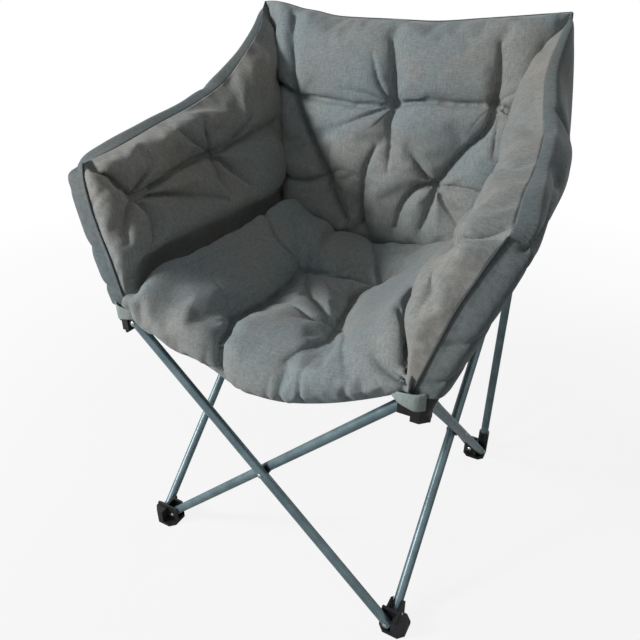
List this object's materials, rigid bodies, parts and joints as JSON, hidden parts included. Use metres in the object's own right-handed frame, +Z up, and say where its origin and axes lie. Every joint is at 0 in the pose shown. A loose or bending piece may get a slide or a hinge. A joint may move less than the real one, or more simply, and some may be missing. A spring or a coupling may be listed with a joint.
{
  "type": "folding camping chair",
  "caption": "Padded folding armchair: a square scissor frame of round tube folds upright and draws the quilted cover together.",
  "frame": {"origin": "on the floor, midway between the four feet", "axes": "+Z up, -Y to the front, +X to the right as seen from the front"},
  "size_m": [0.712, 0.5376, 0.899],
  "materials": {
    "tubes": "satin powder coat",
    "plastic": "moulded, satin",
    "rivets": "zinc plated",
    "padding": "woven, quilted",
    "outer_cloth": "plain woven",
    "strap": "woven tape"
  },
  "bodies": {
    "rear_left": {"rear_left_foot": "plastic", "rear_left_foot_rivets": "rivets", "left_upright": "tubes", "left_upright_cap": "plastic", "back_pad": "padding", "back_panel": "outer_cloth"},
    "rear_outer_leg": {"rear_leg_outer": "tubes"},
    "rear_inner_leg": {"rear_leg_inner": "tubes", "rear_cross_spacer": "plastic", "rear_cross_rivet": "rivets"},
    "rear_right": {"rear_right_foot": "plastic", "rear_right_foot_rivets": "rivets", "right_upright": "tubes", "right_upright_cap": "plastic"},
    "rear_right_slider": {"rear_right_slider": "plastic", "rear_right_slider_rivets": "rivets"},
    "rear_left_slider": {"rear_left_slider": "plastic", "rear_left_slider_rivets": "rivets"},
    "left_inner_leg": {"left_leg_inner": "tubes", "left_cross_spacer": "plastic", "left_cross_rivet": "rivets"},
    "left_outer_leg": {"left_leg_outer": "tubes"},
    "front_left_hub": {"front_left_hub": "plastic", "front_left_hub_rivets": "rivets", "left_arm_post": "tubes", "left_arm_post_cap": "plastic", "left_corner_strap": "strap"},
    "front_left_foot": {"front_left_foot": "plastic", "front_left_foot_rivets": "rivets"},
    "right_outer_leg": {"right_leg_outer": "tubes"},
    "right_inner_leg": {"right_leg_inner": "tubes", "right_cross_spacer": "plastic", "right_cross_rivet": "rivets"},
    "front_right_hub": {"front_right_hub": "plastic", "front_right_hub_rivets": "rivets", "right_arm_post": "tubes", "right_arm_post_cap": "plastic", "right_corner_strap": "strap"},
    "front_right_foot": {"front_right_foot": "plastic", "front_right_foot_rivets": "rivets"},
    "front_inner_leg": {"front_leg_inner": "tubes", "front_cross_spacer": "plastic", "front_cross_rivet": "rivets"},
    "front_outer_leg": {"front_leg_outer": "tubes"},
    "seat_front": {"seat_pad_front": "padding", "seat_sling_front": "outer_cloth"},
    "seat_rear": {"seat_pad_rear": "padding", "seat_sling_rear": "outer_cloth"},
    "left_arm": {"left_arm_pad": "padding", "left_side_panel": "outer_cloth"},
    "right_arm": {"right_arm_pad": "padding", "right_side_panel": "outer_cloth"}
  },
  "joints": [
    {"name": "fold", "type": "hinge", "parent": "rear_left", "child": "rear_outer_leg", "pos_m": [-0.232, 0.2565, 0.017], "axis": [0, -1, 0], "range_deg": [0, 35], "deforming": ["back_pad", "back_panel", "seat_pad_front", "seat_sling_front", "seat_pad_rear", "seat_sling_rear", "left_arm_pad", "left_side_panel", "right_arm_pad", "right_side_panel"]},
    {"name": "rear_crossing", "type": "hinge", "parent": "rear_outer_leg", "child": "rear_inner_leg", "pos_m": [0, 0.247, 0.2375], "axis": [0, 1, 0], "range_deg": [0, 70]},
    {"name": "rear_right_foot_pivot", "type": "hinge", "parent": "rear_inner_leg", "child": "rear_right", "pos_m": [0.232, 0.2375, 0.017], "axis": [0, -1, 0], "range_deg": [0, 35]},
    {"name": "rear_right_slider_pivot", "type": "hinge", "parent": "rear_outer_leg", "child": "rear_right_slider", "pos_m": [0.232, 0.2565, 0.458], "axis": [0, 1, 0], "range_deg": [0, 35]},
    {"name": "rear_left_slider_pivot", "type": "hinge", "parent": "rear_inner_leg", "child": "rear_left_slider", "pos_m": [-0.232, 0.2375, 0.458], "axis": [0, -1, 0], "range_deg": [0, 35]},
    {"name": "left_foot_pivot", "type": "hinge", "parent": "rear_left", "child": "left_inner_leg", "pos_m": [-0.2375, 0.232, 0.017], "axis": [-1, 0, 0], "range_deg": [0, 35]},
    {"name": "left_crossing", "type": "hinge", "parent": "left_inner_leg", "child": "left_outer_leg", "pos_m": [-0.247, 0, 0.2375], "axis": [1, 0, 0], "range_deg": [0, 70]},
    {"name": "front_left_hub_pivot", "type": "hinge", "parent": "left_inner_leg", "child": "front_left_hub", "pos_m": [-0.2375, -0.232, 0.458], "axis": [1, 0, 0], "range_deg": [0, 35]},
    {"name": "front_left_foot_pivot", "type": "hinge", "parent": "left_outer_leg", "child": "front_left_foot", "pos_m": [-0.2565, -0.232, 0.017], "axis": [-1, 0, 0], "range_deg": [0, 35]},
    {"name": "right_foot_pivot", "type": "hinge", "parent": "rear_right", "child": "right_outer_leg", "pos_m": [0.2565, 0.232, 0.017], "axis": [-1, 0, 0], "range_deg": [0, 35]},
    {"name": "right_crossing", "type": "hinge", "parent": "right_outer_leg", "child": "right_inner_leg", "pos_m": [0.247, 0, 0.2375], "axis": [1, 0, 0], "range_deg": [0, 70]},
    {"name": "front_right_hub_pivot", "type": "hinge", "parent": "right_outer_leg", "child": "front_right_hub", "pos_m": [0.2565, -0.232, 0.458], "axis": [1, 0, 0], "range_deg": [0, 35]},
    {"name": "front_right_foot_pivot", "type": "hinge", "parent": "right_inner_leg", "child": "front_right_foot", "pos_m": [0.2375, -0.232, 0.017], "axis": [-1, 0, 0], "range_deg": [0, 35]},
    {"name": "front_inner_foot_pivot", "type": "hinge", "parent": "front_left_foot", "child": "front_inner_leg", "pos_m": [-0.232, -0.2375, 0.017], "axis": [0, -1, 0], "range_deg": [0, 35]},
    {"name": "front_crossing", "type": "hinge", "parent": "front_inner_leg", "child": "front_outer_leg", "pos_m": [0, -0.247, 0.2375], "axis": [0, 1, 0], "range_deg": [0, 70]},
    {"name": "seat_front_fold", "type": "hinge", "parent": "front_left_hub", "child": "seat_front", "pos_m": [0, -0.247, 0.465], "axis": [-1, 0, 0], "range_deg": [0, 71.4]},
    {"name": "seat_rear_fold", "type": "hinge", "parent": "rear_left_slider", "child": "seat_rear", "pos_m": [0, 0.239, 0.465], "axis": [1, 0, 0], "range_deg": [0, 71.4]},
    {"name": "left_arm_slip", "type": "slide", "parent": "front_left_hub", "child": "left_arm", "axis": [0, -0.875, -0.4842], "range_m": [0, 0.3849]},
    {"name": "right_arm_slip", "type": "slide", "parent": "front_right_hub", "child": "right_arm", "axis": [0, -0.875, -0.4842], "range_m": [0, 0.3849]}
  ],
  "couplings": [
    {"joint": "rear_crossing", "follows": "fold", "ratio": 2},
    {"joint": "rear_right_foot_pivot", "follows": "fold", "ratio": 1},
    {"joint": "rear_right_slider_pivot", "follows": "fold", "ratio": 1},
    {"joint": "rear_left_slider_pivot", "follows": "fold", "ratio": 1},
    {"joint": "left_foot_pivot", "follows": "fold", "ratio": 1},
    {"joint": "left_crossing", "follows": "fold", "ratio": 2},
    {"joint": "front_left_hub_pivot", "follows": "fold", "ratio": 1},
    {"joint": "front_left_foot_pivot", "follows": "fold", "ratio": 1},
    {"joint": "right_foot_pivot", "follows": "fold", "ratio": 1},
    {"joint": "right_crossing", "follows": "fold", "ratio": 2},
    {"joint": "front_right_hub_pivot", "follows": "fold", "ratio": 1},
    {"joint": "front_right_foot_pivot", "follows": "fold", "ratio": 1},
    {"joint": "front_inner_foot_pivot", "follows": "fold", "ratio": 1},
    {"joint": "front_crossing", "follows": "fold", "ratio": 2},
    {"joint": "seat_front_fold", "follows": "fold", "ratio": 2.04},
    {"joint": "seat_rear_fold", "follows": "fold", "ratio": 2.04},
    {"joint": "left_arm_slip", "follows": "fold", "m_per_rad": 0.6301},
    {"joint": "right_arm_slip", "follows": "fold", "m_per_rad": 0.6301}
  ]
}
